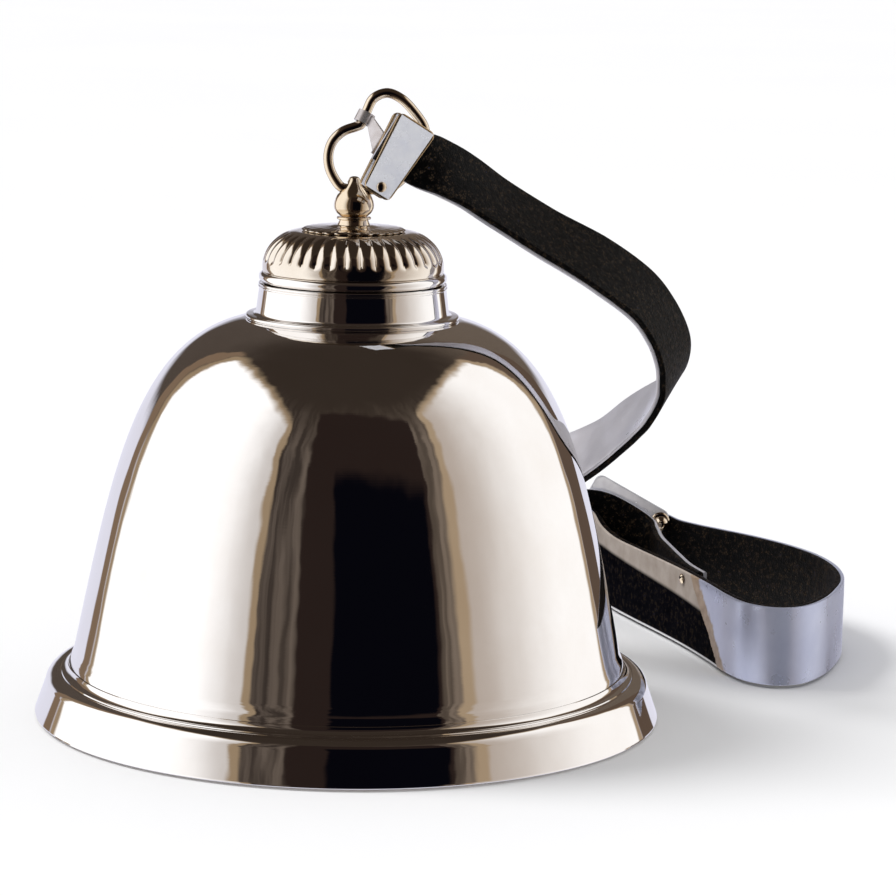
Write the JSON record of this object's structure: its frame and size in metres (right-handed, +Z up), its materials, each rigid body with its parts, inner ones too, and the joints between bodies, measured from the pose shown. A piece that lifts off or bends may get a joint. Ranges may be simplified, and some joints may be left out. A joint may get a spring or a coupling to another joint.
{
  "type": "cowbell",
  "caption": "Polished bell with a stepped foot, fluted cap and pear finial; a heart-shaped wire ring carries a leather strap that ends in a loop, and a clapper hangs inside.",
  "frame": {"origin": "centre of the bell's mouth, on the surface it stands on", "axes": "+Z up along the bell's axis, -Y the front, +X the side the strap hangs to"},
  "size_m": [0.1641, 0.1796, 0.1197],
  "materials": {
    "polished_nickel": "mirror polish, warm tint",
    "warm_brass": "polished, pale gold",
    "plain_steel": "turned, dull",
    "cast_brass": "satin, bare metal",
    "clip_plate": "bright plate, fine scratches",
    "foil_leather": "metallic foil, smooth",
    "grained_leather": "black, coarse grain"
  },
  "bodies": {
    "bell": {"bell_shell": "polished_nickel", "mouth_rim": "polished_nickel", "neck_collar": "polished_nickel", "bead_ring": "polished_nickel", "fluted_cap": "polished_nickel", "cap_rosette": "polished_nickel", "finial_stem": "warm_brass", "finial": "warm_brass", "centre_stud": "plain_steel", "crown_washer": "plain_steel", "crown_nut": "plain_steel", "clapper_eye": "plain_steel"},
    "ring": {"heart_ring": "warm_brass"},
    "strap": {"clip_front_plate": "clip_plate", "clip_back_plate": "clip_plate", "clip_hook": "clip_plate", "clip_rivet": "warm_brass", "strap_face": "foil_leather", "strap_lining": "grained_leather", "loop_face": "foil_leather", "loop_lining": "grained_leather", "closing_plate": "clip_plate", "ball_stud": "warm_brass", "stud_washer": "warm_brass", "tail_rivet": "warm_brass", "joining_rivets": "warm_brass"},
    "link": {"clapper_link": "plain_steel"},
    "clapper": {"clapper_rod": "plain_steel", "clapper_ball": "cast_brass", "clapper_tip_nut": "plain_steel"}
  },
  "joints": [
    {"name": "ring_swing", "type": "hinge", "parent": "bell", "child": "ring", "pos_m": [0, 0, 0.1009], "axis": [1, 0, 0], "range_deg": [0, 35]},
    {"name": "strap_swing", "type": "hinge", "parent": "ring", "child": "strap", "pos_m": [0.00175, 0.00281, 0.1141], "axis": [0.4381, 0.1871, 0.8792], "range_deg": [-15, 3]},
    {"name": "link_swing", "type": "hinge", "parent": "bell", "child": "link", "pos_m": [0, 0, 0.0612], "axis": [1, 0, 0], "range_deg": [-40, 40]},
    {"name": "clapper_swing", "type": "hinge", "parent": "link", "child": "clapper", "pos_m": [0, 0, 0.05625], "axis": [0, 1, 0], "range_deg": [-40, 40]}
  ]
}
